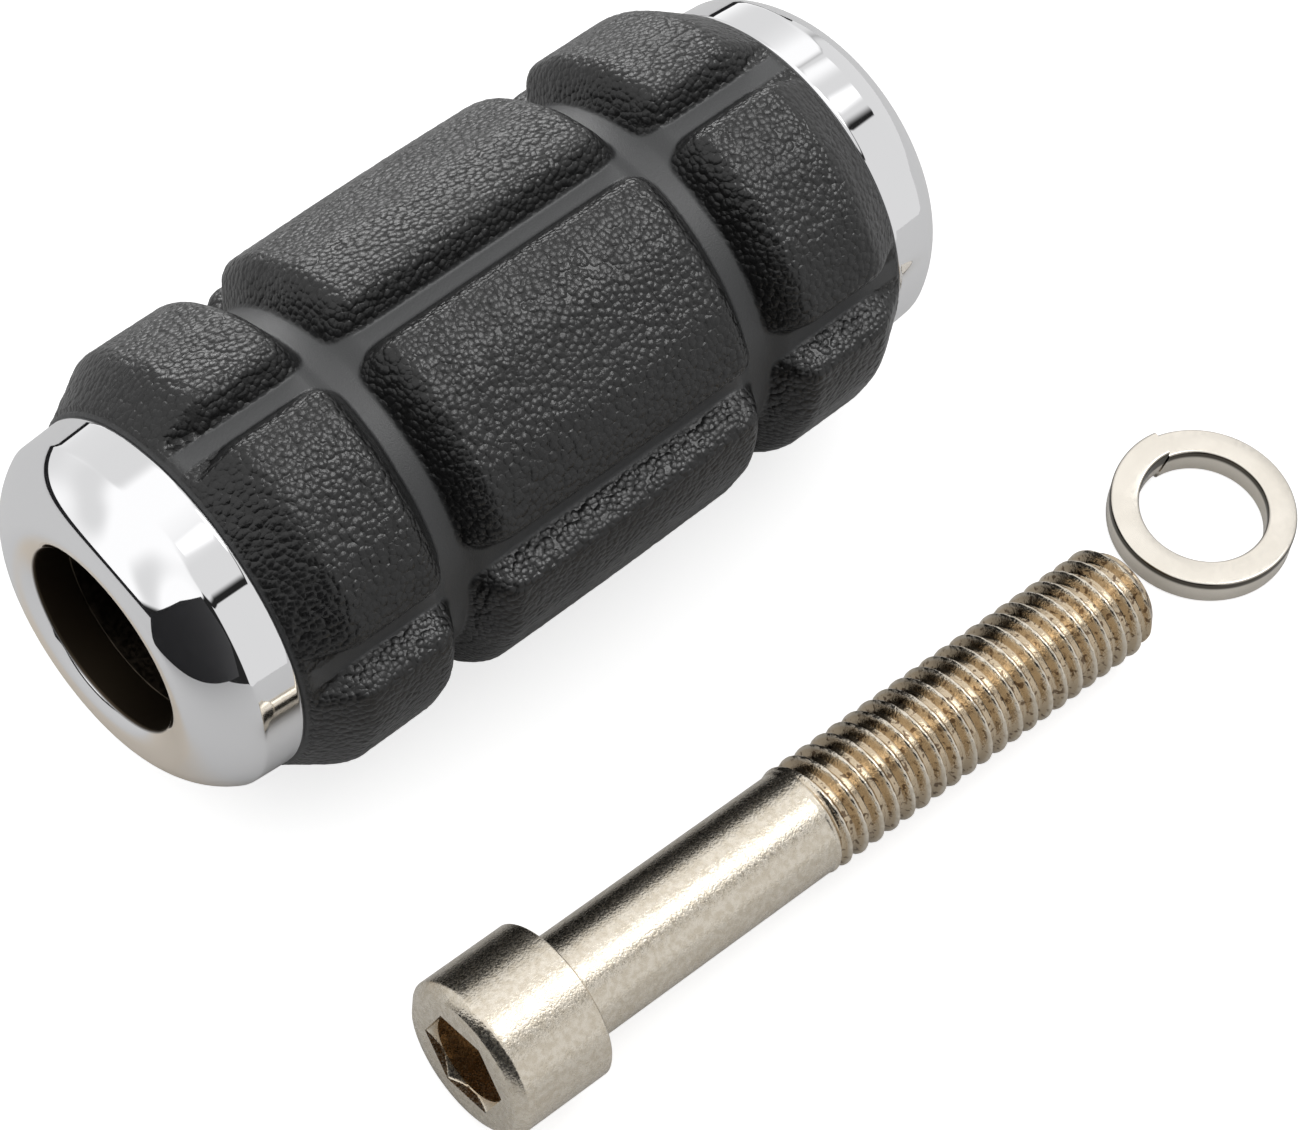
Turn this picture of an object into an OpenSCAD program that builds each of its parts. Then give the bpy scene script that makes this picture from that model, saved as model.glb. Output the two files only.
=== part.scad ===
// Foot peg: a rubber sleeve on a steel core between two chrome caps, with its socket head screw and a
// split lock washer laid beside it. Millimetres, +Z up, +X from the inner end face to the outer end.
// The origin is on the peg's axis at the inner end face.

/* [Peg] */
// Length from the inner end face to the outer end face
peg_len = 64.5; // [50:0.5:100]
// Outside radius of the steel core under the rubber
core_r = 9.5; // [8.5:0.1:11]
// Radius of the bore that takes the screw's head and the washer
counterbore_r = 6.8; // [6.2:0.1:8]
// Radius of the clearance hole for the screw
hole_r = 4.1; // [4:0.05:5]
// Distance from the inner end face to the seat under the washer
seat_x = 34.7; // [20:0.1:45]

/* [End caps] */
// Height of a cap along the axis
cap_h = 6.25; // [5:0.05:9]
// Radius of the band where it meets the rubber
band_r = 12.95; // [11:0.05:14]
// Radius of the crisp edge between band and bevel
edge_r = 12.75; // [11:0.05:14]
// Radius of curvature of the bevel
bevel_r = 6.4; // [5:0.1:12]
// Angle from the axis at which the bevel meets the face rounding
bevel_angle = 22.5; // [10:0.5:35]
// Radius of the rounding between bevel and end face
face_round = 2.1; // [0.5:0.1:3]
// Radius at which the flat end face stops and its rounding starts
face_r = 8.6; // [8.1:0.1:9.5]
// Radius of curvature where the face rolls in towards the bore
roll_round = 2.8; // [1:0.1:4]
// Angle through which the face rolls in
roll_angle = 36; // [5:1:60]
// Radius of the rounded lip at the bore's mouth
lip_round = 0.3; // [0.1:0.05:0.6]
// Depth of the solid front of a cap, in front of its recess for the core
cap_front = 3.25; // [2:0.05:4.5]

/* [Rubber sleeve] */
// Radius of the sleeve where it meets a cap
sleeve_end_r = 13; // [12:0.05:14]
// Radius of the outer pads at the top of the end cone
shoulder_r = 15.4; // [14:0.05:17]
// Radius of the pads in the middle
crown_r = 15.6; // [14:0.05:17]
// Length of the end cone along the axis
cone_len = 3.4; // [1:0.1:6]
// Distance from the sleeve's middle to the inner edge of an outer pad
pad_inner = 15.8; // [12:0.1:18]
// Distance from the sleeve's middle to the edge of a middle pad
pad_mid = 10.6; // [6:0.1:12]
// Run of each sloping groove wall along the axis
wall_run = 1.85; // [0.5:0.05:2.4]
// Radius at the floor of the grooves around the peg
ring_floor_r = 12.8; // [11.5:0.1:14]
// Radius at the floor of the grooves along the peg
long_floor_r = 13.4; // [12:0.1:15]
// Width of a groove along the peg at its floor
long_floor_w = 2.1; // [1:0.1:3]
// Width of a groove along the peg at the crown
long_top_w = 4.8; // [1.5:0.1:6]
// Number of pads around the peg
pads_around = 5; // [3:1:8]
// Turn of the pad pattern about the axis
pad_turn = 0; // [0:0.5:36]
// Distance from the axis to the pads' flattened middles, one of which rests on the ground
rest_r = 15.35; // [14:0.01:16]

/* [Screw] */
// Radius of the head
head_r = 5.65; // [5:0.05:7]
// Height of the head
head_h = 7.4; // [6:0.1:9]
// Length under the head
screw_len = 50.8; // [40:0.1:70]
// Length of the threaded end
thread_len = 29.8; // [20:0.1:40]
// Radius over the thread
thread_r = 3.93; // [3.5:0.01:4.2]
// Radius of the plain shank
shank_r = 3.75; // [3.4:0.01:4]
// Length of the chamfer at the tip
tip_chamfer = 1; // [0.4:0.1:2]
// Radius of the tip's end
tip_r = 3.1; // [2:0.1:3.8]
// Width across the flats of the hex socket
socket_af = 6.35; // [5:0.01:8]
// Depth of the hex socket
socket_depth = 4.2; // [3:0.1:6]
// Height of the chamfer round the head's face
head_chamfer = 0.5; // [0.2:0.05:1]
// Turn of the hex socket about the screw's axis
socket_turn = 18; // [0:1:59]

/* [Lock washer] */
// Outside radius
washer_out_r = 6.6; // [6:0.05:8]
// Inside radius
washer_in_r = 4.55; // [4.1:0.05:5]
// Thickness
washer_h = 2.1; // [1.2:0.05:3]
// Chamfer on its four edges
washer_edge = 0.3; // [0.1:0.05:0.6]
// Angle that the split takes up
split_angle = 8; // [3:0.5:15]
// Direction of the split, from +X towards +Y
split_dir = -100; // [-180:1:180]

/* [Layout] */
// Position along X of the underside of the screw's head
screw_x = 55.4; // [40:0.1:70]
// Distance of the underside of the screw's head from the peg's axis
screw_y = 33.7; // [25:0.1:50]
// Turn of the screw away from the peg's direction
screw_turn = 1.5; // [-10:0.1:10]
// Position of the washer along X
washer_x = -6.3; // [-20:0.1:10]
// Position of the washer along Y
washer_y = 33.25; // [25:0.05:50]

/* [Hidden] */
ground_z = -rest_r;
far = 100;
pitch = 360 / pads_around;
sleeve_half = peg_len / 2 - cap_h;
bevel_top = [face_r + face_round * sin(bevel_angle), cap_h - face_round * (1 - cos(bevel_angle))];
bevel_mid = [bevel_top[0] - bevel_r * sin(bevel_angle), bevel_top[1] - bevel_r * cos(bevel_angle)];
bevel_end = asin((edge_r - bevel_mid[0]) / bevel_r);
roll_inner = counterbore_r + lip_round * (1 - sin(roll_angle));
lip_drop = roll_round * (1 - cos(roll_angle)) + lip_round * cos(roll_angle);
screw_tilt = atan((head_r - thread_r) / (screw_len - tip_chamfer));

function arc(mid, r, from, to, n) =
    [for (i = [0 : n]) mid + r * [sin(from + (to - from) * i / n), cos(from + (to - from) * i / n)]];

// A body of revolution about the peg's axis, from [radius, position] points
module turned(points) {
    rotate([0, 90, 0])
        rotate_extrude($fn = 120)
            polygon(points);
}

// One cap, with the rubber at position 0 and the end face at cap_h
module cap() {
    turned(concat(
        [[core_r, 0], [band_r, 0]],
        arc(bevel_mid, bevel_r, bevel_end, bevel_angle, 6),
        arc([face_r, cap_h - face_round], face_round, bevel_angle * 0.6, 0, 2),
        arc([roll_inner + roll_round * sin(roll_angle), cap_h - roll_round], roll_round, 0, -roll_angle, 3),
        arc([counterbore_r + lip_round, cap_h - lip_drop], lip_round, -roll_angle * 1.6, -90, 4),
        [[counterbore_r, cap_h - cap_front], [core_r, cap_h - cap_front]]
    ));
}

module outer_cap() {
    color([0.86, 0.86, 0.87])
        translate([peg_len - cap_h, 0, 0])
            cap();
}

module inner_cap() {
    color([0.86, 0.86, 0.87])
        translate([cap_h, 0, 0])
            mirror([1, 0, 0])
                cap();
}

// Core with a nose that seats on the lever, a clearance hole, a seat and a counterbore
module core_tube() {
    color([0.45, 0.44, 0.43])
        turned([
            [hole_r, 0], [counterbore_r, 0],
            [counterbore_r, cap_front], [core_r, cap_front],
            [core_r, peg_len - cap_front], [counterbore_r, peg_len - cap_front],
            [counterbore_r, seat_x], [hole_r, seat_x]
        ]);
}

// Half of the sleeve's outline, from the middle out, on the side given by dir
function half_outline(dir) = [
    [crown_r - 0.1, dir * pad_mid],
    [ring_floor_r, dir * (pad_mid + wall_run)],
    [ring_floor_r, dir * (pad_inner - wall_run)],
    [shoulder_r, dir * pad_inner],
    [shoulder_r, dir * (sleeve_half - cone_len)],
    [sleeve_end_r, dir * sleeve_half]
];

module sleeve_blank() {
    inner = half_outline(-1);
    outer = half_outline(1);
    last = len(inner) - 1;
    translate([peg_len / 2, 0, 0])
        turned(concat(
            [[core_r, -sleeve_half]],
            [for (i = [0 : last]) inner[last - i]],
            [[crown_r, 0]],
            outer,
            [[core_r, sleeve_half]]
        ));
}

// Sloping-sided groove along the peg, on the side where it points down before it is turned
module long_groove() {
    rotate([0, 90, 0])
        linear_extrude(height = peg_len)
            polygon([
                [long_floor_r, -long_floor_w / 2],
                [crown_r + 1, -long_top_w / 2 - 0.4],
                [crown_r + 1, long_top_w / 2 + 0.4],
                [long_floor_r, long_floor_w / 2]
            ]);
}

module pad_flat() {
    translate([0, -far / 2, -rest_r - far])
        cube([peg_len, far, far]);
}

module rubber_sleeve() {
    color([0.07, 0.07, 0.07])
        difference() {
            sleeve_blank();
            for (i = [0 : pads_around - 1]) {
                rotate([180 - pad_turn - i * pitch, 0, 0])
                    long_groove();
                rotate([i * pitch, 0, 0])
                    pad_flat();
            }
        }
}

module mounting_bolt() {
    color([0.62, 0.6, 0.57])
        translate([screw_x, screw_y, ground_z + head_r * cos(screw_tilt)])
            rotate([0, -90 - screw_tilt, -screw_turn])
                difference() {
                    rotate_extrude($fn = 96)
                        polygon([
                            [0, -head_h],
                            [head_r - head_chamfer * 1.2, -head_h],
                            [head_r, -head_h + head_chamfer],
                            [head_r, 0],
                            [shank_r, 0],
                            [shank_r, screw_len - thread_len],
                            [thread_r, screw_len - thread_len],
                            [thread_r, screw_len - tip_chamfer],
                            [tip_r, screw_len],
                            [0, screw_len]
                        ]);
                    translate([0, 0, -head_h - 1])
                        rotate([0, 0, socket_turn])
                            cylinder(h = socket_depth + 1, r = socket_af / 2 / cos(30), $fn = 6);
                }
}

module lock_washer() {
    color([0.72, 0.71, 0.69])
        translate([washer_x, washer_y, ground_z])
            rotate([0, 0, split_dir + split_angle / 2])
                rotate_extrude(angle = 360 - split_angle, $fn = 96)
                    polygon([
                        [washer_in_r, washer_edge],
                        [washer_in_r + washer_edge, 0],
                        [washer_out_r - washer_edge, 0],
                        [washer_out_r, washer_edge],
                        [washer_out_r, washer_h - washer_edge],
                        [washer_out_r - washer_edge, washer_h],
                        [washer_in_r + washer_edge, washer_h],
                        [washer_in_r, washer_h - washer_edge]
                    ]);
}

outer_cap();
inner_cap();
core_tube();
rubber_sleeve();
mounting_bolt();
lock_washer();
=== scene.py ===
import math
import bmesh
import bpy
import numpy as np
from mathutils import Matrix, Vector, noise


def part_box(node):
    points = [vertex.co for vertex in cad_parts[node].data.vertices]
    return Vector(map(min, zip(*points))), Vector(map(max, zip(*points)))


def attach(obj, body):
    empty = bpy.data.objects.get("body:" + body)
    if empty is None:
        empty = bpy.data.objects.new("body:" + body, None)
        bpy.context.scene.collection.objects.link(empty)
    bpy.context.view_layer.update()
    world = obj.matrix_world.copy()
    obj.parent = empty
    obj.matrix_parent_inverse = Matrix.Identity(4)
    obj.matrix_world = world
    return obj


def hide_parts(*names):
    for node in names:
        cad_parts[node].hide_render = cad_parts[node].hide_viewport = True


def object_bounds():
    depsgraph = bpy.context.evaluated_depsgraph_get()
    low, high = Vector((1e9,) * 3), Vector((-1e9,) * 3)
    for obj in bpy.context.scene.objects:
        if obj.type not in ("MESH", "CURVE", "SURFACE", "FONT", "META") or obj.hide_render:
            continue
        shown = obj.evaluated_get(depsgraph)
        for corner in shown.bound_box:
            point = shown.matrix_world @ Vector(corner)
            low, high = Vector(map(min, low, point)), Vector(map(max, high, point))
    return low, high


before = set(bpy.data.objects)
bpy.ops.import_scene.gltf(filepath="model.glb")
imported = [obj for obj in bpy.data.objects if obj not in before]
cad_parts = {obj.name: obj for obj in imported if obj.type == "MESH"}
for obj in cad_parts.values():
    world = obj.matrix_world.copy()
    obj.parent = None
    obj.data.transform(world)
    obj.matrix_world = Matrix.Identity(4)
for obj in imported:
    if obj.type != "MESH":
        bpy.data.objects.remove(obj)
cadLow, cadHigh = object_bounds()
mm = 0.001
ground = cadLow.z
print("frame loaded, ground at", round(ground / mm, 2), "mm")

view = {
    "aim": (25.7, 11.2),  # point on the ground that the camera looks at
    "azimuth": 130.34,
    "elevation": 56.05,
    "distance": 284.5,
    "roll": 8.225,
    "lens": 114.9,
    "sensor": 36,
    "clip": (0.01, 20),  # in metres
}


def makeCamera(v):
    a, e, roll = (math.radians(v[k]) for k in ("azimuth", "elevation", "roll"))
    back = Vector((math.sin(a) * math.cos(e), -math.cos(a) * math.cos(e), math.sin(e)))
    level = Vector((math.cos(a), math.sin(a), 0))
    rise = back.cross(level)
    right = level * math.cos(roll) + rise * math.sin(roll)
    up = rise * math.cos(roll) - level * math.sin(roll)
    data = bpy.data.cameras.new("camera")
    data.lens, data.sensor_width = v["lens"], v["sensor"]
    data.clip_start, data.clip_end = v["clip"]
    camera = bpy.data.objects.new("camera", data)
    place = Vector((v["aim"][0] * mm, v["aim"][1] * mm, ground)) + back * v["distance"] * mm
    camera.matrix_world = Matrix((
        (right.x, up.x, back.x, place.x),
        (right.y, up.y, back.y, place.y),
        (right.z, up.z, back.z, place.z),
        (0, 0, 0, 1),
    ))
    bpy.context.scene.collection.objects.link(camera)
    bpy.context.scene.camera = camera


makeCamera(view)
bpy.context.scene.view_settings.view_transform = "Standard"
print("camera placed")


# shapes are worked out in millimetres and become metres in the mesh
def linkObject(name, mesh):
    thing = bpy.data.objects.new(name, mesh)
    bpy.context.scene.collection.objects.link(thing)
    return thing


def finishMesh(mesh, sharpAngle):
    b = bmesh.new()
    b.from_mesh(mesh)
    bmesh.ops.remove_doubles(b, verts=b.verts, dist=1e-7)
    bmesh.ops.recalc_face_normals(b, faces=b.faces)
    b.to_mesh(mesh)
    b.free()
    mesh.polygons.foreach_set("use_smooth", [True] * len(mesh.polygons))
    mesh.set_sharp_from_angle(angle=math.radians(sharpAngle))
    mesh.update()


# rings has shape (rings, points, 3), and every ring is closed
def ringMesh(name, rings, loop=False, capped=False, sharpAngle=35, share=None):
    rings = np.asarray(rings, dtype=float)
    m, n, _ = rings.shape
    index = np.arange(m * n).reshape(m, n)
    below = index if loop else index[:-1]
    above = np.roll(index, -1, axis=0) if loop else index[1:]
    faces = np.stack([below, np.roll(below, -1, 1), np.roll(above, -1, 1), above], -1).reshape(-1, 4)
    faces = faces.tolist()
    if capped:
        faces += [index[0][::-1].tolist(), index[-1].tolist()]
    mesh = bpy.data.meshes.new(name)
    mesh.from_pydata((rings.reshape(-1, 3) * mm).tolist(), [], faces)
    if share is not None:
        layer = mesh.attributes.new("share", "FLOAT", "POINT")
        layer.data.foreach_set("value", share.reshape(-1).astype(np.float32))
    finishMesh(mesh, sharpAngle)
    return linkObject(name, mesh)


# turns (radius, position) pairs into rings about X
def spin(outline, points):
    outline = np.asarray(outline, dtype=float)
    turn = np.linspace(0, 2 * math.pi, points, endpoint=False)
    r, p = outline[:, :1], np.repeat(outline[:, 1:], points, 1)
    return np.stack([p, r * np.sin(turn), r * np.cos(turn)], -1)


# outline points round a middle, at angles from the axis
def arc(middle, radius, start, end, steps):
    angles = np.radians(np.linspace(start, end, steps + 1))
    return [(middle[0] + radius * math.sin(t), middle[1] + radius * math.cos(t)) for t in angles]


def ramp(t):
    t = np.clip(t, 0, 1)
    return t * t * (3 - 2 * t)


def softMin(a, b, k):
    h = np.maximum(k - np.abs(a - b), 0) / k
    return np.minimum(a, b) - h * h * k / 4


def softMax(a, b, k):
    return -softMin(-np.asarray(a), -np.asarray(b), k)


def direction(turn, rise):
    turn, rise = math.radians(turn), math.radians(rise)
    return math.cos(rise) * math.cos(turn), math.cos(rise) * math.sin(turn), math.sin(rise)


# an input is given by its name, or as i0, i1 and so on by its number
def addNode(tree, kind, settings=None, **inputs):
    node = tree.nodes.new("ShaderNode" + kind)
    for key, value in (settings or {}).items():
        setattr(node, key, value)
    for key, value in inputs.items():
        socket = node.inputs[int(key[1:])] if key[0] == "i" and key[1:].isdigit() else node.inputs[key]
        setSocket(tree, socket, value)
    return node


def setSocket(tree, socket, value):
    if isinstance(value, bpy.types.NodeSocket):
        tree.links.new(value, socket)
    else:
        socket.default_value = value


def calc(tree, operation, a, b=0.0, clamp=False):
    return addNode(tree, "Math", {"operation": operation, "use_clamp": clamp}, i0=a, i1=b).outputs[0]


def times(tree, *values):
    product = values[0]
    for value in values[1:]:
        product = calc(tree, "MULTIPLY", product, value)
    return product


def between(tree, value, low, high, toLow=0.0, toHigh=1.0):
    settings = {"interpolation_type": "SMOOTHSTEP"}
    node = addNode(tree, "MapRange", settings, i0=value, i1=low, i2=high, i3=toLow, i4=toHigh)
    return node.outputs[0]


# rises from 0 to 1 over the first two edges and falls back over the last two
def patch(tree, value, edges):
    a, b, c, d = (edge * mm for edge in edges)
    return times(tree, between(tree, value, a, b), between(tree, value, c, d, 1, 0))


def mixColour(tree, factor, a, b):
    node = addNode(tree, "Mix", {"data_type": "RGBA"})
    for value, socket in ((factor, node.inputs[0]), (a, node.inputs[6]), (b, node.inputs[7])):
        setSocket(tree, socket, value)
    return node.outputs[2]


# distance from the axis that is at right angles to the two named ones
def fromAxis(tree, parts, first, second):
    squares = [calc(tree, "POWER", parts.outputs[name], 2.0) for name in (first, second)]
    return calc(tree, "SQRT", calc(tree, "ADD", *squares))


def newMaterial(name, **sockets):
    material = bpy.data.materials.new(name)
    material.use_nodes = True
    tree = material.node_tree
    shader = next(n for n in tree.nodes if n.bl_idname == "ShaderNodeBsdfPrincipled")
    for key, value in sockets.items():
        shader.inputs[key].default_value = value
    return material, tree, shader


def makeGroup(name, inputs, outputs):
    group = bpy.data.node_groups.new(name, "ShaderNodeTree")
    for key, kind, default in inputs:
        socket = group.interface.new_socket(name=key, in_out="INPUT", socket_type="NodeSocket" + kind)
        if default is not None:
            socket.default_value = default
    for key, kind in outputs:
        group.interface.new_socket(name=key, in_out="OUTPUT", socket_type="NodeSocket" + kind)
    return group, group.nodes.new("NodeGroupInput"), group.nodes.new("NodeGroupOutput")


def useGroup(tree, group, **inputs):
    node = tree.nodes.new("ShaderNodeGroup")
    node.node_tree = group
    for key, value in inputs.items():
        setSocket(tree, node.inputs[key], value)
    return node


# cloudy blotches and fine specks in bare metal, as two masks from 0 to 1
def makeMottle():
    inputs = [("Place", "Vector", None), ("Blotch", "Float", 800.0), ("Speck", "Float", 4000.0)]
    group, start, end = makeGroup("mottle", inputs, [("Mask", "Float"), ("Speckle", "Float")])
    place = start.outputs["Place"]
    blotch = addNode(group, "TexNoise", None, Vector=place, Scale=start.outputs["Blotch"], Detail=4.0)
    speck = addNode(group, "TexNoise", None, Vector=place, Scale=start.outputs["Speck"], Detail=2.0)
    group.links.new(between(group, blotch.outputs[0], 0.35, 0.65), end.inputs["Mask"])
    group.links.new(between(group, speck.outputs[0], 0.3, 0.7), end.inputs["Speckle"])
    return group


mottle = makeMottle()


caps = {
    "band": 12.95,  # radius where the band meets the rubber
    "edge": 12.75,  # radius at the crisp edge
    "edgeSoft": 0.12,
    "bevelRound": 6.4,
    "bevelAngle": 22.5,
    "faceRound": 2.1,
    "face": 8.6,
    "lip": 0.3,
    "rollRound": 2.8,  # the face rolls gently in towards the bore
    "rollAngle": 36,
    "bore": 6.8,
    "front": 3.25,  # solid depth in front of the recess for the core
    "core": 9.5,
    "around": 288,
    "colour": (0.88, 0.88, 0.89, 1),
    "boreShade": (0.06, 0.045, 0.03, 1),  # painted shade inside the bore, near black
    "boreShadeFade": (0.03, 0.2),  # how far outside the bore's radius the painted shade fades into chrome
    "roughness": 0.025,
    "boreRoughness": 0.45,
}


def capOutline(c, height):
    soft, steep = c["edgeSoft"], math.radians(c["bevelAngle"])
    crown = (c["face"] + c["faceRound"] * math.sin(steep), height - c["faceRound"] * (1 - math.cos(steep)))
    middle = (crown[0] - c["bevelRound"] * math.sin(steep), crown[1] - c["bevelRound"] * math.cos(steep))
    end = math.degrees(math.asin((c["edge"] - middle[0]) / c["bevelRound"]))
    bevel = arc(middle, c["bevelRound"], end - 0.6, c["bevelAngle"], 40)  # stops short of the crisp edge
    bandEnd = bevel[0][1] - soft
    slope = (c["band"] - c["edge"]) / bandEnd
    outline = [(c["core"], 0), (c["band"] - 0.05, 0), (c["band"], 0.05)]
    outline += [(c["band"] - slope * t, t) for t in np.linspace(0.3, bandEnd - 0.02, 12)]
    outline += bevel
    outline += arc((c["face"], height - c["faceRound"]), c["faceRound"], c["bevelAngle"] - 3, 0, 10)
    roll, lip, tilt = c["rollRound"], c["lip"], math.radians(c["rollAngle"])
    inner = c["bore"] + lip * (1 - math.sin(tilt))
    drop = roll * (1 - math.cos(tilt)) + lip * math.cos(tilt)
    outline += arc((inner + roll * math.sin(tilt), height - roll), roll, 0, -c["rollAngle"], 10)
    outline += arc((c["bore"] + lip, height - drop), lip, -c["rollAngle"] - 4, -90, 8)
    return outline + [(c["bore"], height - c["front"]), (c["core"], height - c["front"])]


def makeCap(c, node, outward):
    low, high = (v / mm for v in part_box(node))
    rings = spin(capOutline(c, high.x - low.x), c["around"])
    start = low.x if outward > 0 else high.x
    rings[..., 0] = start + outward * rings[..., 0]
    cap = ringMesh(node + "_turned", rings, loop=True, sharpAngle=50)
    material, tree, shader = newMaterial(node + "_chrome", Metallic=1.0)
    parts = addNode(tree, "SeparateXYZ", None, Vector=addNode(tree, "TexCoord").outputs["Object"])
    # painted shade: the bore and its lip are coloured near black, fading to chrome just outside the bore
    fadeStart, fadeEnd = ((c["bore"] + away) * mm for away in c["boreShadeFade"])
    clearOfBoreShade = between(tree, fromAxis(tree, parts, "Y", "Z"), fadeStart, fadeEnd)
    tree.links.new(mixColour(tree, clearOfBoreShade, c["boreShade"], c["colour"]), shader.inputs["Base Color"])
    rough = between(tree, clearOfBoreShade, 0, 1, c["boreRoughness"], c["roughness"])
    tree.links.new(rough, shader.inputs["Roughness"])
    cap.data.materials.append(material)
    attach(cap, "peg")
    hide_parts(node)


makeCap(caps, "outer_cap", 1)
makeCap(caps, "inner_cap", -1)
print("caps turned")


core = {
    "hole": 4.1,
    "counterbore": 6.8,
    "outside": 9.5,
    "seat": 34.7,  # distance of the seat from the inner end face
    "nose": 3.25,
    "chamfer": 0.35,
    "edgeSoft": 0.12,
    "marks": 60,  # turning marks down the counterbore
    "markDepth": 0.02,
    "around": 192,
    "colour": (0.1, 0.08, 0.06, 1),
    "dark": (0.05, 0.04, 0.03, 1),
    "rough": (0.3, 0.5),
}


def coreOutline(c, near, far):
    hole, counterbore, outside, chamfer = c["hole"], c["counterbore"], c["outside"], c["chamfer"]
    mouth = far - c["edgeSoft"]
    outline = [(hole, chamfer), (hole + chamfer, near), (counterbore - 0.15, near)]
    outline += [(counterbore, near + 0.15), (counterbore, c["nose"]), (outside, c["nose"])]
    outline += [(outside, far), (counterbore + c["edgeSoft"], far), (counterbore, mouth)]
    for step in range(1, c["marks"]):
        x = mouth - step * (far - c["seat"] - 0.5) / c["marks"]
        outline.append((counterbore - c["markDepth"] * (step % 2), x))
    outline += [(counterbore, c["seat"] + 0.2), (counterbore - 0.2, c["seat"])]
    return outline + [(hole + chamfer, c["seat"]), (hole, c["seat"] - chamfer)]


def makeCore(c):
    low, high = (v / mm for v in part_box("core_tube"))
    rings = spin(coreOutline(c, low.x, high.x), c["around"])
    tube = ringMesh("core_tube_turned", rings, loop=True, sharpAngle=30)
    material, tree, shader = newMaterial("core_bare_steel", Metallic=1.0)
    place = addNode(tree, "TexCoord").outputs["Object"]
    marks = useGroup(tree, mottle, Place=place, Blotch=500.0, Speck=3500.0)
    colour = mixColour(tree, marks.outputs["Mask"], c["colour"], c["dark"])
    tree.links.new(colour, shader.inputs["Base Color"])
    tree.links.new(between(tree, marks.outputs["Speckle"], 0, 1, *c["rough"]), shader.inputs["Roughness"])
    tube.data.materials.append(material)
    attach(tube, "peg")
    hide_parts("core_tube")


makeCore(core)
print("core turned")


sleeve = {
    "bore": 9.5,
    "pads": 5,
    "turn": 0.0,
    "middleCrown": 15.6,
    "outerCrown": 15.45,
    "barrel": 0.12,  # how much lower a middle pad is at its ends
    "rest": 15.35,  # distance from the axis to the pads' flattened middles
    "padMiddle": 10.6,  # distance from the middle to the edge of a middle pad
    "padInner": 15.8,  # distance from the middle to the edge of an outer pad
    "cone": 3.4,  # length of the cone beside a cap
    "lipRadius": 13.2,  # radius over the rounded lip beside a cap
    "lipRun": 0.35,
    "endRadius": 12.75,
    "ringFloor": 12.8,
    "ringRun": 1.85,  # run of the walls of the grooves round the peg
    "ringBlend": (0.7, 1.8),  # where the floor starts to rise from a ring groove, and over how far
    "longFloor": 13.4,
    "longRun": 1.4,
    "longOpening": 2.15,  # half the opening of a groove along the peg
    "cornerSoft": 0.6,
    "cornerPower": 2.6,
    "edgeSoft": 0.8,
    "floorSoft": 0.3,
    "flatSoft": 0.12,
    "coneSoft": 0.6,
    "coneFloorSoft": 0.3,
    "grainSize": 0.42,
    "grainHeight": 0.07,
    "grainEdge": (0.84, 0.2),  # where down a wall the grain starts to fade, and over how much of it
    "coneGrain": 0.7,
    "around": 820,
    "along": 440,
}


# radius of the sleeve, and how much grain it has, at x from its middle and turn degrees round it
def sleeveRadius(s, x, turn, half):
    u = np.abs(x)
    pitch = 360 / s["pads"]
    ringMiddle = (s["padMiddle"] + s["padInner"]) / 2
    isMiddle = u < ringMiddle
    crown = np.where(isMiddle, s["middleCrown"] - s["barrel"] * (u / s["padMiddle"]) ** 2, s["outerCrown"])
    fromFlat = np.radians((turn - 180 + pitch / 2) % pitch - pitch / 2)
    crown = softMin(crown, s["rest"] / np.cos(fromFlat), s["flatSoft"])
    inRing = 1 - ramp((np.abs(u - ringMiddle) - s["ringBlend"][0]) / s["ringBlend"][1])
    floor = s["longFloor"] + (s["ringFloor"] - s["longFloor"]) * inRing
    cone = s["lipRadius"] + (s["outerCrown"] - s["lipRadius"] - 0.02) * (half - u) / s["cone"]
    top = softMin(crown, cone, s["coneSoft"])

    # share is how far down its wall a point is: under 0 on a pad's top, 1 at the groove's floor
    away = (turn - s["turn"]) % pitch - pitch / 2  # degrees from the middle of a pad
    halfWide = math.radians(pitch / 2) * s["middleCrown"] - s["longOpening"]
    beside = (np.abs(np.radians(away) * s["middleCrown"]) - halfWide) / s["longRun"]
    beyond = np.where(isMiddle, u - s["padMiddle"], s["padInner"] - u) / s["ringRun"]
    k, power = s["cornerSoft"], s["cornerPower"]
    end, side = np.maximum(beyond + k, 0), np.maximum(beside + k, 0)
    inside = np.minimum(np.maximum(beyond, beside) + k, 0)
    share = (end ** power + side ** power) ** (1 / power) + inside - k
    wall = top - np.maximum(share, -1.5) * (s["middleCrown"] - floor)
    body = softMax(softMin(top, wall, s["edgeSoft"]), floor, s["floorSoft"])
    body = softMin(body, cone, s["coneFloorSoft"])

    onCone = ramp((floor + 0.5 - cone) / 0.4)
    onPad = 1 - ramp((share - s["grainEdge"][0]) / s["grainEdge"][1])
    grainy = np.maximum(onPad, s["coneGrain"] * onCone) * ramp((half - u - 0.05) / 0.3)
    lip = np.clip((half - u) / s["lipRun"], 0, 1)
    rounded = s["endRadius"] + (s["lipRadius"] - s["endRadius"]) * np.sqrt(1 - (1 - lip) ** 2)
    beyondLip = np.maximum(half - u - s["lipRun"], 0)
    return np.minimum(body, rounded + beyondLip * 10), grainy


def grainField(s, points):
    scale = 1 / s["grainSize"]
    return np.array([0.5 + 0.5 * noise.noise(p) for p in (points * scale).tolist()])


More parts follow.
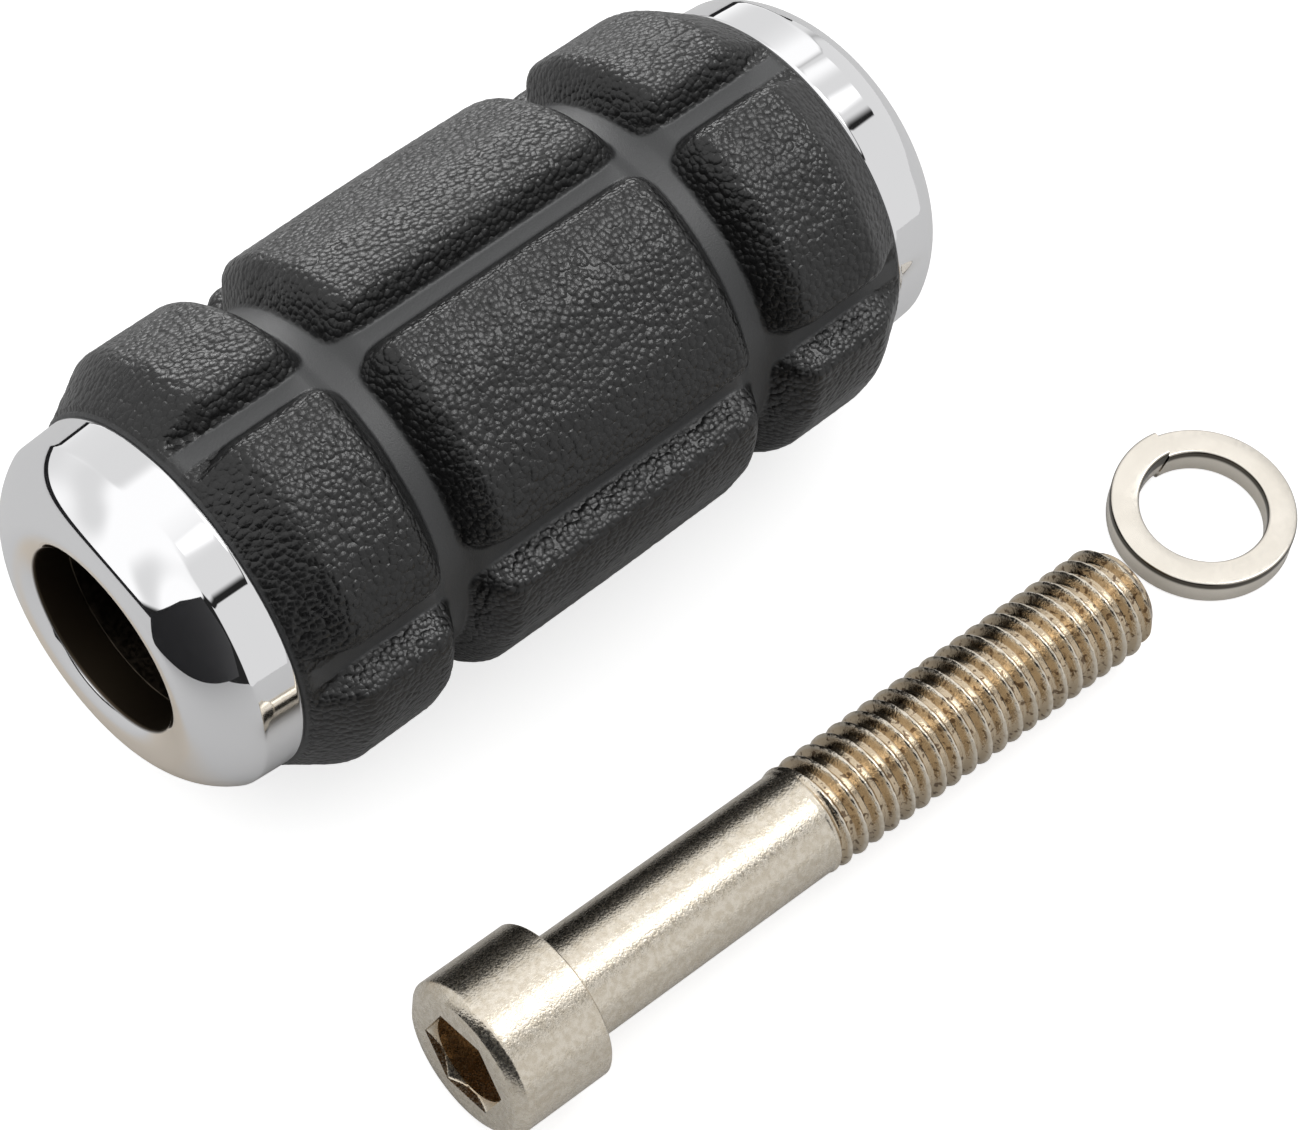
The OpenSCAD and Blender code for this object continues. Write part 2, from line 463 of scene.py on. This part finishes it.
def makeSleeve(s):
    low, high = (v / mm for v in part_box("rubber_sleeve"))
    middle, half = (low.x + high.x) / 2, (high.x - low.x) / 2
    spread = np.linspace(-1, 1, s["along"])
    x = half * (spread + 0.02 * np.sin(math.pi * spread))  # a little closer at the two ends
    turn = np.linspace(0, 360, s["around"], endpoint=False)
    xx, tt = np.meshgrid(x, turn, indexing="ij")
    radius, grainy = sleeveRadius(s, xx, tt, half)
    side, rise = np.sin(np.radians(tt)), np.cos(np.radians(tt))
    points = np.stack([xx, radius * side, radius * rise], -1).reshape(-1, 3)
    waver = grainField(s, points).reshape(radius.shape)
    radius = radius + s["grainHeight"] * (waver - 1) * grainy
    rings = np.stack([xx + middle, radius * side, radius * rise], -1)
    ends = [spin([(s["bore"], middle + end * half)], s["around"])[0] for end in (-1, 1)]
    rings = np.concatenate([ends[:1], rings, ends[1:]])
    share = np.concatenate([np.zeros((1, s["around"])), grainy, np.zeros((1, s["around"]))])
    return ringMesh("rubber_sleeve_moulded", rings, loop=True, sharpAngle=70, share=share)


rubber = {
    "pad": (0.0062, 0.0062, 0.0064, 1),
    # painted shade: the creases between pebbles are coloured darker than the pebbles' tops
    "creaseShade": (0.0015, 0.0015, 0.0015, 1),
    "floor": (0.046, 0.047, 0.048, 1),
    "padRough": (0.27, 0.37),
    "floorRough": 0.5,
    "patch": 260.0,  # cloudy patches of gloss per metre
    "cell": 2250.0,  # pebbles per metre
    "cellReach": 0.8,  # how far a pebble's dome reaches, in cells
    "bend": 1800.0,  # what bends the pebbles out of their grid, per metre
    "bendSize": 0.00016,
    "fine": 9000.0,
    "fineHeight": 0.25,
    "relief": 0.00009,
    "ior": 1.5,
}


def makeRubber(r):
    material, tree, shader = newMaterial("sleeve_rubber", IOR=r["ior"])
    place = addNode(tree, "TexCoord").outputs["Object"]
    onPad = addNode(tree, "Attribute", {"attribute_name": "share"}).outputs["Fac"]
    bent = addNode(tree, "TexNoise", None, Vector=place, Scale=r["bend"], Detail=1.0).outputs["Color"]
    shift = addNode(tree, "VectorMath", {"operation": "SCALE"}, Vector=bent, Scale=r["bendSize"])
    moved = addNode(tree, "VectorMath", {"operation": "ADD"}, i0=place, i1=shift.outputs[0])
    pebble = addNode(tree, "TexVoronoi", {"feature": "F1"}, Vector=moved.outputs[0], Scale=r["cell"])
    span = calc(tree, "DIVIDE", pebble.outputs["Distance"], r["cellReach"], clamp=True)
    domed = calc(tree, "SUBTRACT", 1.0, calc(tree, "POWER", span, 2.0))
    # painted shade darkens each pebble towards its crease
    colour = mixColour(tree, domed, r["creaseShade"], r["pad"])
    colour = mixColour(tree, onPad, r["floor"], colour)
    tree.links.new(colour, shader.inputs["Base Color"])
    soft = addNode(tree, "TexNoise", None, Vector=place, Scale=r["patch"], Detail=3.0)
    padRough = between(tree, soft.outputs[0], 0.3, 0.7, *r["padRough"])
    rough = addNode(tree, "Mix", None, i0=onPad, i2=r["floorRough"], i3=padRough).outputs[0]
    tree.links.new(rough, shader.inputs["Roughness"])
    fine = addNode(tree, "TexNoise", None, Vector=place, Scale=r["fine"], Detail=2.0).outputs[0]
    height = calc(tree, "ADD", times(tree, domed, onPad), times(tree, fine, r["fineHeight"]))
    bump = addNode(tree, "Bump", None, Height=height, Distance=r["relief"], Strength=1.0)
    tree.links.new(bump.outputs[0], shader.inputs["Normal"])
    return material


sleevePiece = makeSleeve(sleeve)
sleevePiece.data.materials.append(makeRubber(rubber))
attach(sleevePiece, "peg")
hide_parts("rubber_sleeve")
print("sleeve moulded")


screw = {
    "head": 5.65,
    "headHeight": 7.4,
    "headSoft": 0.12,
    "rim": 0.72,  # width of the chamfer round the head's face
    "fillet": 0.5,  # under the head
    "length": 50.8,
    "shank": 3.75,
    "thread": 3.93,
    "threadLength": 29.8,
    "pitch": 1.411,
    "threadDepth": 0.84,
    "crest": 0.14,  # width of the flat on a crest
    "root": 0.34,
    "tip": 3.1,
    "tipChamfer": 1.0,
    "flats": 6.35,
    "socketDepth": 4.2,
    "socketTurn": 18,
    "countersink": 0.66,  # width of the cone at the socket's mouth
    "place": (55.4, 33.7),
    "turn": 1.5,
    "around": 180,
    "perPitch": 26,
    "light": (0.79, 0.725, 0.62, 1),
    "shade": (0.67, 0.60, 0.49, 1),
    "socket": (0.55, 0.43, 0.29, 1),
    "bronze": (0.60, 0.49, 0.35, 1),
    "pit": (0.2, 0.14, 0.09, 1),
    "rough": (0.17, 0.3),
    "threadPolish": 0.07,  # how much less rough the thread is
    "relief": 0.00002,
}


def threadRadius(s, turn, z):
    start, end = s["length"] - s["threadLength"], s["length"]
    phase = ((z - start) / s["pitch"] - turn / (2 * math.pi)) % 1.0
    away = np.abs(phase - 0.5) * s["pitch"]  # distance from the middle of a crest
    flank = (s["pitch"] - s["crest"] - s["root"]) / 2
    cut = np.clip((away - s["crest"] / 2) / flank, 0, 1)
    cut = cut - softMax(cut - 0.86, 0, 0.18)  # rounds the root
    begun = ramp((z - start) / (0.6 * s["pitch"]))
    crest = s["shank"] + (s["thread"] - s["shank"]) * ramp((z - start + 0.2) / 0.5)
    chamfer = s["tip"] + (s["thread"] - s["tip"]) * (end - z) / s["tipChamfer"]
    return np.minimum(crest - s["threadDepth"] * cut * begun, chamfer)


# radius and place along the axis, from the socket's floor out over the head and down to the tip
def screwOutline(s, turn):
    corner = (np.degrees(turn) - s["socketTurn"]) % 60 - 30
    hexagon = s["flats"] / 2 / np.cos(np.radians(corner))
    head, rim, shank, fillet, soft = (s[k] for k in ("head", "rim", "shank", "fillet", "headSoft"))
    face = -s["headHeight"]
    floor = face + s["socketDepth"]
    mouth = s["flats"] / 2 / math.cos(math.pi / 6) + soft
    start = s["length"] - s["threadLength"]
    rows = int(s["threadLength"] / s["pitch"] * s["perPitch"])
    outline = [(0.02, floor + 0.9), (hexagon * 0.8, floor + soft), (hexagon - 0.1, floor)]
    outline += [(hexagon - 0.02, z) for z in np.linspace(floor - soft, face + 0.8, 8)]
    cone = np.linspace(s["countersink"], 0, 9)
    outline += [(np.minimum(hexagon, mouth - d), face + d * 0.9) for d in cone]
    outline += [(mouth + soft, face), (head - rim - 0.04, face), (head - rim + 0.05, face + 0.04)]
    outline += [(head - 0.07, face + rim - soft), (head - 0.02, face + rim - 0.03), (head, face + rim + 0.08)]
    outline += [(head, z) for z in np.linspace(face + rim + 0.3, -0.3, 12)]
    outline += [(head, -soft), (head - soft, 0), (shank + fillet, 0)]
    bends = (0.4, 0.8, 1.2, 1.57)
    outline += [(shank + fillet * (1 - math.sin(t)), fillet * (1 - math.cos(t))) for t in bends]
    outline += [(shank, z) for z in np.linspace(1, start - 0.3, 20)]
    outline += [(threadRadius(s, turn, z), z) for z in np.linspace(start - 0.2, s["length"], rows)]
    return outline + [(0.02, s["length"])]


def makeScrew(s):
    n = s["around"]
    turn = np.linspace(0, 2 * math.pi, n, endpoint=False)
    rings = []
    for radius, z in screwOutline(s, turn):
        radius = np.broadcast_to(radius, (n,))
        rings.append(np.stack([radius * np.cos(turn), radius * np.sin(turn), np.full(n, z)], -1))
    bolt = ringMesh("socket_screw", rings, capped=True, sharpAngle=32)
    tilt = math.atan((s["head"] - s["thread"]) / (s["length"] - s["tipChamfer"]))
    lean, swing = -math.pi / 2 - tilt, -math.radians(s["turn"])
    place = Vector((s["place"][0] * mm, s["place"][1] * mm, ground + s["head"] * math.cos(tilt) * mm))
    laid = Matrix.Rotation(swing, 4, "Z") @ Matrix.Rotation(lean, 4, "Y")
    bolt.data.transform(Matrix.Translation(place) @ laid)
    return bolt, place, (0, lean, swing)


def makeScrewSteel(s, origin, rotation):
    material, tree, shader = newMaterial("screw_steel", Metallic=1.0)
    settings = {"vector_type": "TEXTURE"}  # back to the screw's own axis
    place = addNode(tree, "TexCoord").outputs["Object"]
    place = addNode(tree, "Mapping", settings, Vector=place, Location=origin, Rotation=rotation).outputs[0]
    parts = addNode(tree, "SeparateXYZ", None, Vector=place)
    along, radius = parts.outputs["Z"], fromAxis(tree, parts, "X", "Y")
    marks = useGroup(tree, mottle, Place=place, Blotch=2300.0, Speck=6000.0)
    colour = mixColour(tree, marks.outputs["Mask"], s["light"], s["shade"])

    threadStart = (s["length"] - s["threadLength"] + 0.3) * mm
    onThread = between(tree, along, threadStart - 0.4 * mm, threadStart + 0.4 * mm)
    deep = between(tree, radius, (s["thread"] - 0.3) * mm, (s["thread"] - 0.04) * mm, 1, 0)
    inThread = times(tree, deep, onThread)
    colour = mixColour(tree, inThread, colour, s["bronze"])
    pitted = times(tree, inThread, between(tree, marks.outputs["Mask"], 0.84, 1.0))
    colour = mixColour(tree, pitted, colour, s["pit"])

    face = -s["headHeight"] * mm
    inSocket = times(tree, between(tree, radius, 3.6 * mm, 3.75 * mm, 1, 0),
                     between(tree, along, face + 0.2 * mm, face + 0.7 * mm),
                     between(tree, along, -0.1 * mm, 0.0, 1, 0))
    colour = mixColour(tree, inSocket, colour, s["socket"])
    tree.links.new(colour, shader.inputs["Base Color"])

    rough = between(tree, marks.outputs["Speckle"], 0, 1, *s["rough"])
    rough = calc(tree, "SUBTRACT", rough, times(tree, onThread, s["threadPolish"]))
    tree.links.new(rough, shader.inputs["Roughness"])
    speckle = marks.outputs["Speckle"]
    bump = addNode(tree, "Bump", None, Strength=0.4, Distance=s["relief"], Height=speckle)
    tree.links.new(bump.outputs[0], shader.inputs["Normal"])
    return material


screwPiece, screwOrigin, screwRotation = makeScrew(screw)
screwPiece.data.materials.append(makeScrewSteel(screw, screwOrigin, screwRotation))
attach(screwPiece, "bolt")
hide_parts("mounting_bolt")
print("screw cut")


washer = {
    "outside": 6.6,
    "inside": 4.55,
    "height": 2.1,
    "soft": 0.22,
    "split": 1.2,  # degrees
    "splitDirection": -100,
    "slant": -10.0,  # degrees of turn from the bottom to the top of the split
    "spring": 0.55,  # how far one end stands up
    "springShare": 0.28,  # share of the turn over which it rises
    "around": 220,
    "light": (0.84, 0.79, 0.71, 1),
    "shade": (0.79, 0.74, 0.66, 1),
    "edge": (0.10, 0.09, 0.075, 1),  # painted reflection: a dark line just under the top edge
    "paintedReflectionDepth": (0.7, 0.38),
    "rough": (0.16, 0.26),
}


def washerRings(w, middle, bottom):
    k, wide, tall = w["soft"], w["outside"] - w["inside"], w["height"]
    section = []
    for across, up, first in ((wide - k, k, 180), (wide - k, tall - k, 90), (k, tall - k, 0), (k, k, -90)):
        section += arc((across, up), k, first, first - 90, 4)
    section = np.array(section)
    span = np.linspace(0, 1, w["around"])
    turn = np.radians(w["splitDirection"] + w["split"] / 2 + span * (360 - w["split"]))
    slant = np.radians(w["slant"]) * (section[:, 1] / tall - 0.5)
    angle = turn[:, None] + slant[None, :]
    radius = w["inside"] + section[:, 0]
    rise = w["spring"] * ramp((w["springShare"] - span) / w["springShare"])[:, None] ** 1.5
    z = bottom + section[None, :, 1] + rise
    return np.stack([middle.x + radius * np.cos(angle), middle.y + radius * np.sin(angle), z], -1)


def makeWasherSteel(w):
    material, tree, shader = newMaterial("washer_steel", Metallic=1.0)
    place = addNode(tree, "TexCoord").outputs["Object"]
    marks = useGroup(tree, mottle, Place=place, Blotch=300.0, Speck=2500.0)
    colour = mixColour(tree, marks.outputs["Mask"], w["light"], w["shade"])
    normal = addNode(tree, "NewGeometry").outputs["Normal"]
    facing = addNode(tree, "SeparateXYZ", None, Vector=normal).outputs["Z"]
    level = addNode(tree, "SeparateXYZ", None, Vector=place).outputs["Z"]
    # painted reflection: steep sides are coloured dark in a band just under the top edge
    lower, upper = (ground + (w["height"] - depth) * mm for depth in w["paintedReflectionDepth"])
    edge = times(tree, between(tree, facing, 0.55, 0.95, 1, 0), between(tree, level, lower, upper))
    colour = mixColour(tree, edge, colour, w["edge"])
    tree.links.new(colour, shader.inputs["Base Color"])
    rough = between(tree, marks.outputs["Speckle"], 0, 1, *w["rough"])
    tree.links.new(rough, shader.inputs["Roughness"])
    return material


def makeWasher(w):
    low, high = (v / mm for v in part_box("lock_washer"))
    rings = washerRings(w, (low + high) / 2, low.z)
    ring = ringMesh("split_washer", rings, capped=True, sharpAngle=40)
    ring.data.materials.append(makeWasherSteel(w))
    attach(ring, "washer")
    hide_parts("lock_washer")


makeWasher(washer)
print("washer coiled")


# turns and rises of the studio are in degrees, the turn from +X towards +Y
studio = {
    "centre": (45, 0),
    "near": 150,  # radius of the ground that shows in the metal
    "far": 3000,
    "groundSides": 96,
    "ground": (0.70, 0.70, 0.70, 1),
    "groundGlow": 0.72,
    "warmGround": (0.74, 0.67, 0.58, 1),  # under the outer cap, seen only in the metal
    "warmAlong": (55, 62, 70, 77),
    "warmAcross": (-17, -11, 4, 12),
    "flag": [(105, 0, 0), (205, 248, 0), (205, 248, 120), (134, 72, 105), (114, 26, 52), (106, 4, 20)],
    "flagColour": (0.01, 0.01, 0.012, 1),
    "edgeTurn": (-155, 3),  # a low dark edge stands round this much of the near ground
    "edgeHeight": 9,
    "edgeSteps": 60,
    "keys": ((158.0, 60.0, 5.5), (-116.0, 16.0, 5.0)),  # turn, rise and brightness of the grain's lamps
    "keySize": 0.32,
    "keyDistance": 0.6,
    "tent": 1.12,
    "fold": 0.7,  # how dark the tent's soft folds are against its brightest cloth
    "foldScale": (0.5, 1.5, 0.8),
    "foldTurn": (0.5, 0.3, 0.6),
    "overhead": (45, 49),  # above this rise the tent is all bright
    "tentLean": 1.1,  # how far the edge of its bright side leans with its rise
    "tentEnd": (-1, 3),
    "tentStart": (-158, -150),
    "dim": 0.78,  # the low card, and the cloth behind
    "cardTurn": (68, 72),
    "cardRise": (41.5, 42.5),
    "behindTurn": (150, 156),
    "dark": 0.02,
    "shadeTurn": (10, 60),  # matte surfaces get less light from low on this side
    "shadeRise": (30, 50),
    "shade": 0.75,
    "lamp": 2.0,  # overhead lamp behind the tent
    "lampTurn": 158.0,
    "lampRise": 62.0,
    "lampWide": 15.0,
    "lampSoft": 5.0,
    "lampMatte": 0.7,  # share of it that matte surfaces don't get
    "backdrop": 0.92,
}


def groundMaterial(s):
    material = bpy.data.materials.new("pale_ground")
    material.use_nodes = True
    tree = material.node_tree
    tree.nodes.clear()
    path = addNode(tree, "LightPath")
    spot = addNode(tree, "SeparateXYZ", None, Vector=addNode(tree, "NewGeometry").outputs["Position"])
    warm = times(tree, patch(tree, spot.outputs["X"], s["warmAlong"]),
                 patch(tree, spot.outputs["Y"], s["warmAcross"]), path.outputs["Is Glossy Ray"])
    diffuse = addNode(tree, "BsdfDiffuse", None, Color=mixColour(tree, warm, s["ground"], s["warmGround"]))
    shine = times(tree, path.outputs["Is Camera Ray"], s["groundGlow"])
    glow = addNode(tree, "Emission", None, Color=(1, 1, 1, 1), Strength=shine)
    both = addNode(tree, "AddShader", None, i0=diffuse.outputs[0], i1=glow.outputs[0])
    addNode(tree, "OutputMaterial", None, Surface=both.outputs[0])
    return material


# points on a circle round the studio's centre, at a height above the ground
def groundCircle(s, radius, turns, height=0):
    x, y = s["centre"]
    z = ground + height * mm
    return [((x + radius * math.cos(t)) * mm, (y + radius * math.sin(t)) * mm, z) for t in turns]


def stagePiece(name, points, faces, material):
    mesh = bpy.data.meshes.new(name)
    mesh.from_pydata(points, [], faces)
    mesh.update()
    mesh.materials.append(material)
    return linkObject(name, mesh)


def makeGround(s):
    material = groundMaterial(s)
    n = s["groundSides"]
    turns = np.linspace(0, 2 * math.pi, n, endpoint=False)
    rim = groundCircle(s, s["near"], turns)
    ringFaces = [[i, (i + 1) % n, n + (i + 1) % n, n + i] for i in range(n)]
    near = stagePiece("ground_near", rim, [list(range(n))], material)
    far = stagePiece("ground_far", rim + groundCircle(s, s["far"], turns), ringFaces, material)
    far.visible_glossy = False


# a black flag stands on the ground beyond the outer end, for the dark areas in the chrome
def makeFlag(s):
    material, _, shader = newMaterial("flag_black", Roughness=0.8)
    shader.inputs["Base Color"].default_value = s["flagColour"]
    corners = [(x * mm, y * mm, ground + z * mm) for x, y, z in s["flag"]]
    flag = stagePiece("black_flag", corners, [list(range(len(corners)))], material)
    n = s["edgeSteps"]
    turns = np.radians(np.linspace(*s["edgeTurn"], n))
    points = [p for height in (0, s["edgeHeight"]) for p in groundCircle(s, s["near"] - 1, turns, height)]
    faces = [[i, i + 1, n + i + 1, n + i] for i in range(n - 1)]
    edge = stagePiece("ground_edge", points, faces, material)
    for piece in (flag, edge):
        piece.visible_camera = False
        piece.visible_shadow = False


def makeKeys(s, piece):
    lit = bpy.data.collections.new("lit_by_keys")
    lit.objects.link(piece)
    middle = Vector((s["centre"][0] * mm, s["centre"][1] * mm, 0))
    for number, (turn, rise, bright) in enumerate(s["keys"]):
        data = bpy.data.lights.new(f"key_{number}", "AREA")
        data.shape, data.size = "DISK", s["keySize"]
        data.energy = bright * math.pi * math.pi * (s["keySize"] / 2) ** 2
        key = bpy.data.objects.new(f"key_{number}", data)
        way = Vector(direction(turn, rise))
        key.location = middle + way * s["keyDistance"]
        key.rotation_mode = "QUATERNION"
        key.rotation_quaternion = way.to_track_quat("Z", "Y")
        bpy.context.scene.collection.objects.link(key)
        key.light_linking.receiver_collection = lit


# how bright the tent is in each direction, before the lamp behind it
def tentLevel(tree, s, way, azimuth, rise):
    lean = calc(tree, "SUBTRACT", azimuth, times(tree, rise, s["tentLean"]))
    tent = times(tree, between(tree, lean, *s["tentEnd"], 1, 0), between(tree, azimuth, *s["tentStart"]))
    tent = calc(tree, "MAXIMUM", tent, between(tree, rise, *s["overhead"]))
    cloth = addNode(tree, "Mapping", None, Vector=way, Rotation=s["foldTurn"], Scale=s["foldScale"])
    folds = addNode(tree, "TexNoise", None, Vector=cloth.outputs[0], Scale=1.5, Detail=0.0)
    bright = between(tree, folds.outputs[0], 0.32, 0.56, s["tent"] * s["fold"], s["tent"])
    level = addNode(tree, "Mix", None, i0=tent, i2=s["dark"], i3=bright).outputs[0]
    card = times(tree, between(tree, azimuth, *s["cardTurn"]), between(tree, rise, *s["cardRise"], 1, 0))
    behind = between(tree, calc(tree, "ABSOLUTE", azimuth), *s["behindTurn"])
    for mask in (card, behind):
        level = calc(tree, "MAXIMUM", level, times(tree, mask, s["dim"]))
    return level


def makeWorld(s):
    world = bpy.data.worlds.new("soft_tent")
    bpy.context.scene.world = world
    world.use_nodes = True
    tree = world.node_tree
    tree.nodes.clear()
    way = addNode(tree, "TexCoord").outputs["Generated"]
    path = addNode(tree, "LightPath")
    parts = addNode(tree, "SeparateXYZ", None, Vector=way).outputs
    azimuth = times(tree, calc(tree, "ARCTAN2", parts["Y"], parts["X"]), 180 / math.pi)
    rise = times(tree, calc(tree, "ARCSINE", parts["Z"]), 180 / math.pi)
    level = tentLevel(tree, s, way, azimuth, rise)

    shaded = times(tree, between(tree, rise, *s["shadeRise"], 1, 0), between(tree, azimuth, *s["shadeTurn"]),
                   path.outputs["Is Diffuse Ray"], s["shade"])
    level = times(tree, level, calc(tree, "SUBTRACT", 1.0, shaded))
    aim = addNode(tree, "VectorMath", {"operation": "DOT_PRODUCT"}, i0=way,
                  i1=direction(s["lampTurn"], s["lampRise"])).outputs["Value"]
    outer, inner = (math.cos(math.radians(s["lampWide"] - soft)) for soft in (0, s["lampSoft"]))
    matte = times(tree, path.outputs["Is Diffuse Ray"], s["lampMatte"])
    lamp = times(tree, between(tree, aim, outer, inner), calc(tree, "SUBTRACT", 1.0, matte), s["lamp"])
    level = calc(tree, "ADD", level, lamp)
    level = calc(tree, "MAXIMUM", level, times(tree, path.outputs["Is Camera Ray"], s["backdrop"]))
    sky = addNode(tree, "Background", None, Color=(1.0, 1.0, 1.0, 1), Strength=level)
    addNode(tree, "OutputWorld", None, Surface=sky.outputs[0])


makeGround(studio)
makeFlag(studio)
makeKeys(studio, sleevePiece)
makeWorld(studio)
print("studio lit")
